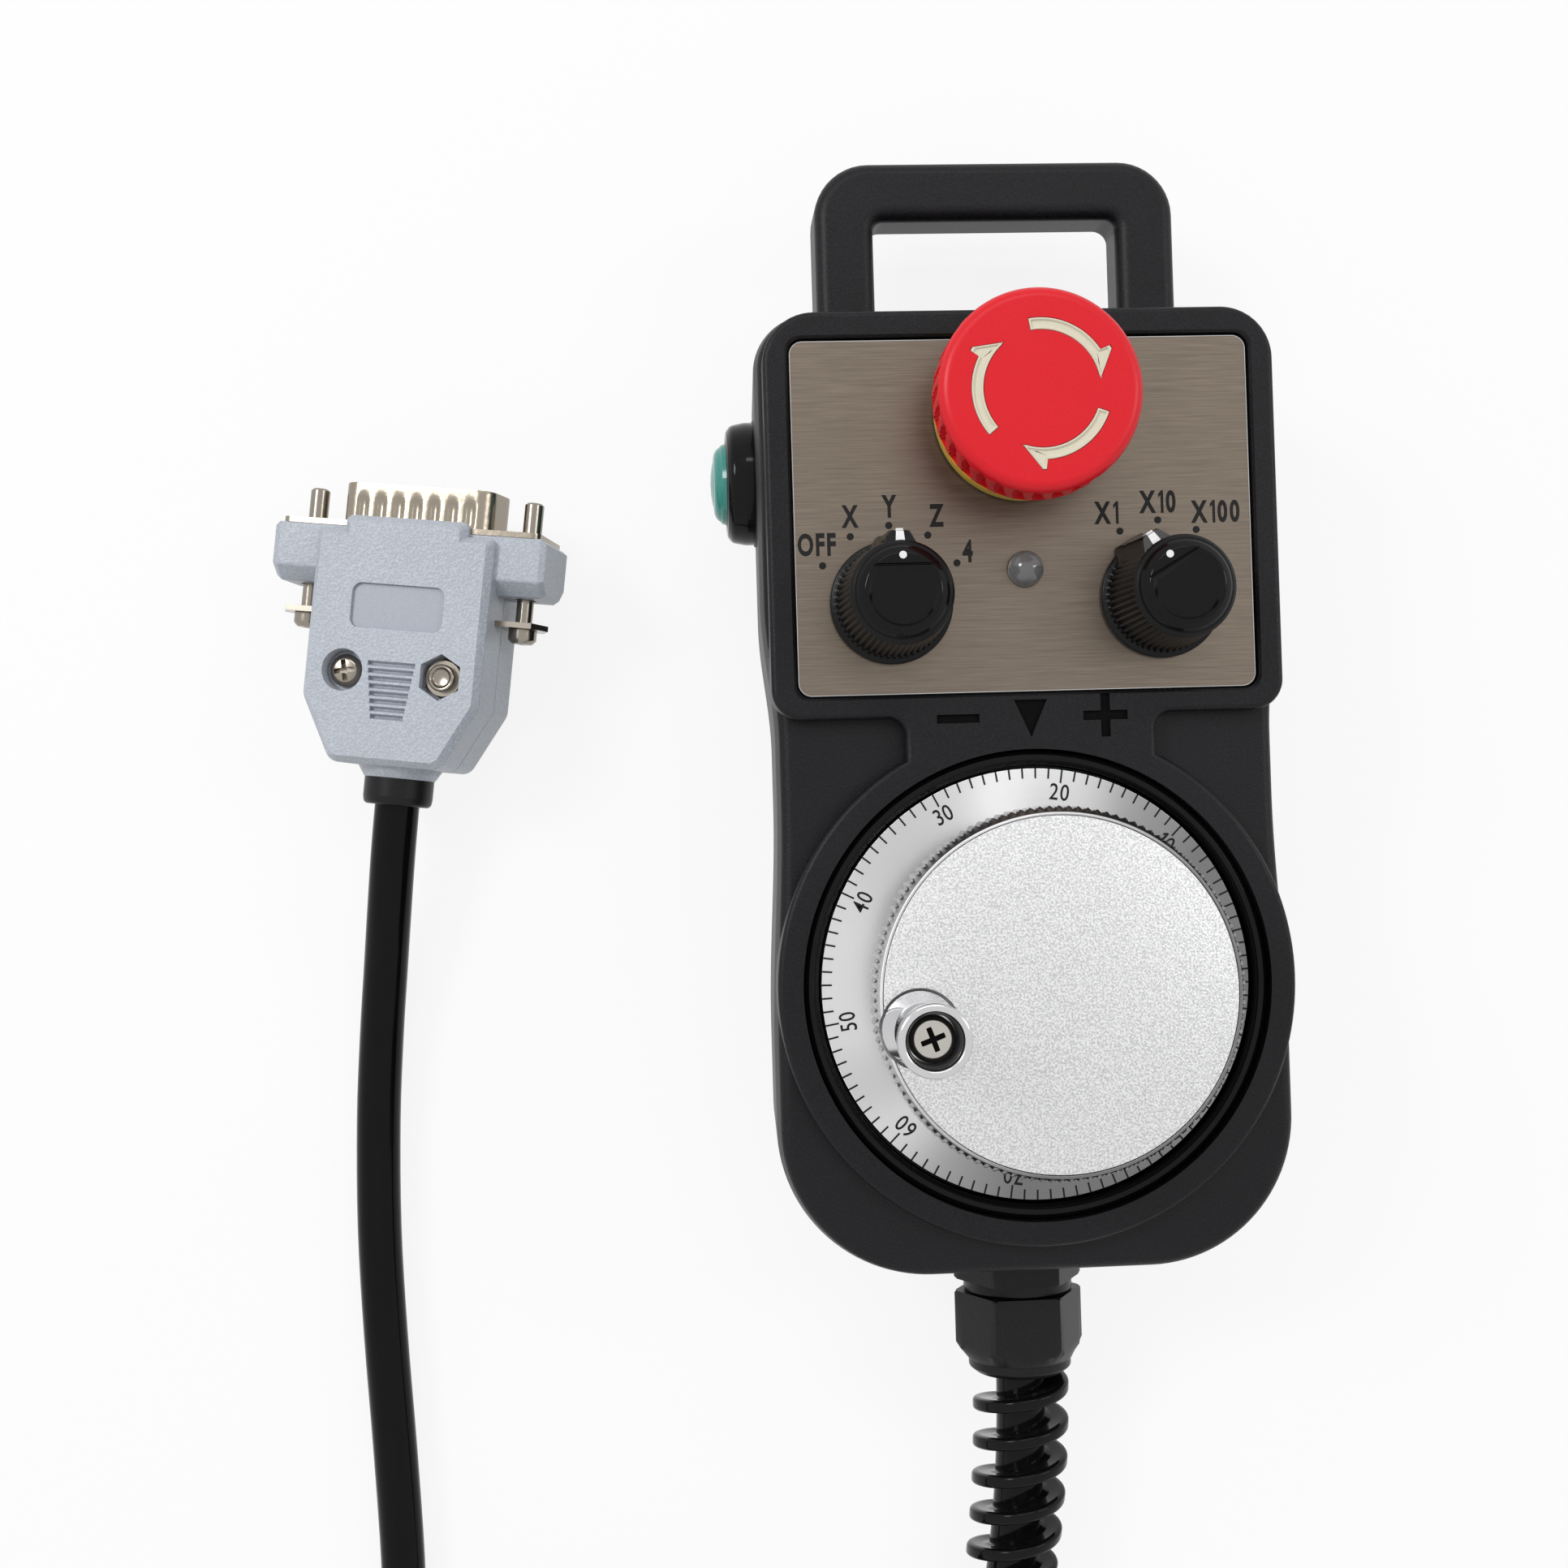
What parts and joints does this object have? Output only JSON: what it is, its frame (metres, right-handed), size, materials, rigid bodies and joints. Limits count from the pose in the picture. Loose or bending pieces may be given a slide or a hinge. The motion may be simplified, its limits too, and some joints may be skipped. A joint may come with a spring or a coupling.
{
  "type": "pulse generator handwheel",
  "caption": "Hand-held machine pendant with a graduated crank wheel, two selector knobs, a stop button, a side button, a handle loop, and a coiled cable ending in a D-shaped plug.",
  "frame": {"origin": "where the handwheel axis meets the flat back face", "axes": "+Z out of the control panel along the handwheel axis, +Y from the wheel towards the handle loop, +X to the operator's right"},
  "size_m": [0.1443, 0.3167, 0.0682],
  "materials": {
    "case_black": "fine-grained satin black moulding",
    "plate_steel": "horizontally brushed steel",
    "gloss_black": "polished black",
    "knob_black": "satin black",
    "wheel_alloy": "machined and polished, black graduations",
    "satin_alloy": "satin, spun",
    "grip_chrome": "polished",
    "screw_steel": "plated steel",
    "shaft_steel": "ground steel",
    "unit_black": "moulded",
    "code_film": "printed film",
    "board_green": "circuit board",
    "terminal_brass": "brass",
    "stop_red": "satin-gloss red",
    "arrow_cream": "cream inlay",
    "collar_yellow": "yellow",
    "lamp_clear": "clear resin",
    "button_green": "green",
    "gland_black": "nylon",
    "rubber_black": "rubber",
    "cable_black": "PVC sheath with a soft gloss",
    "hood_grey": "fine-grained blue-grey moulding",
    "shell_nickel": "nickel-plated, dimpled",
    "insert_black": "insert with plated pins"
  },
  "bodies": {
    "case": {"housing": "case_black", "rear_cover": "case_black", "cover_screws": "screw_steel", "panel_plate": "plate_steel", "encoder_housing": "gloss_black", "encoder_screws": "screw_steel", "encoder_bearings": "shaft_steel", "detent_spring": "shaft_steel", "sensor_board": "board_green", "encoder_cover": "unit_black", "terminal_posts": "terminal_brass", "stop_collar": "collar_yellow", "stop_barrel": "unit_black", "stop_spring": "screw_steel", "stop_nut": "unit_black", "contact_block": "unit_black", "axis_switch": "unit_black", "multiplier_switch": "unit_black", "switch_nuts": "screw_steel", "lamp": "lamp_clear", "lamp_holder": "unit_black", "button_bezel": "gloss_black", "button_spring": "screw_steel", "button_nut": "unit_black", "button_switch": "unit_black", "gland_body": "gland_black", "gland_seal": "rubber_black", "gland_locknut": "gland_black", "gland_nut": "gland_black", "spiral_guard": "gland_black", "cable_entry": "cable_black", "cable_out": "cable_black", "cable_coil": "cable_black", "cable_return": "cable_black", "hood_front": "hood_grey", "hood_back": "hood_grey", "hood_fasteners": "screw_steel", "cable_collar": "rubber_black", "plug_shell": "shell_nickel", "plug_insert": "insert_black", "clips": "screw_steel"},
    "wheel": {"handwheel": "wheel_alloy", "hub_disc": "satin_alloy", "crank_screw": "screw_steel", "encoder_shaft": "shaft_steel", "detent_wheel": "shaft_steel", "code_disc": "code_film"},
    "crank": {"crank_grip": "grip_chrome"},
    "stop_plunger": {"stop_stem": "unit_black"},
    "stop_button": {"stop_head": "stop_red", "stop_arrows": "arrow_cream"},
    "axis_selector": {"axis_knob": "knob_black", "axis_cap": "gloss_black", "axis_shaft": "shaft_steel"},
    "multiplier_selector": {"multiplier_knob": "knob_black", "multiplier_cap": "gloss_black", "multiplier_shaft": "shaft_steel"},
    "enable_cap": {"button_cap": "button_green"},
    "jackscrew_l": {"jackscrew_left": "screw_steel"},
    "jackscrew_r": {"jackscrew_right": "screw_steel"}
  },
  "joints": [
    {"name": "wheel_spin", "type": "hinge", "parent": "case", "child": "wheel", "pos_m": [0, 0, 0.03], "axis": [0, 0, 1], "continuous": true},
    {"name": "crank_spin", "type": "hinge", "parent": "wheel", "child": "crank", "pos_m": [-0.01862, -0.00376, 0.06], "axis": [0, 0, 1], "continuous": true},
    {"name": "stop_press", "type": "slide", "parent": "case", "child": "stop_plunger", "axis": [0, 0, -1], "range_m": [0, 0.0038], "deforming": ["stop_spring"]},
    {"name": "stop_twist", "type": "hinge", "parent": "stop_plunger", "child": "stop_button", "pos_m": [0, 0.079, 0.04], "axis": [0, 0, 1], "range_deg": [-40, 0], "stiffness_Nm_per_rad": 0.01},
    {"name": "axis_select", "type": "hinge", "parent": "case", "child": "axis_selector", "pos_m": [-0.0188, 0.0531, 0.04], "axis": [0, 0, 1], "range_deg": [-60, 60]},
    {"name": "multiplier_select", "type": "hinge", "parent": "case", "child": "multiplier_selector", "pos_m": [0.0188, 0.0531, 0.04], "axis": [0, 0, 1], "range_deg": [-60, 0]},
    {"name": "enable_press", "type": "slide", "parent": "case", "child": "enable_cap", "axis": [1, 0, 0], "range_m": [0, 0.0018], "stiffness_N_per_m": 400, "springref_m": -0.001, "deforming": ["button_spring"]},
    {"name": "jackscrew_left_turn", "type": "hinge", "parent": "case", "child": "jackscrew_l", "pos_m": [-0.10166, 0.06949, 0.00754], "axis": [0.1219, 0.9925, 0], "continuous": true},
    {"name": "jackscrew_right_turn", "type": "hinge", "parent": "case", "child": "jackscrew_r", "pos_m": [-0.06931, 0.06551, 0.01446], "axis": [0.1219, 0.9925, 0], "continuous": true}
  ]
}
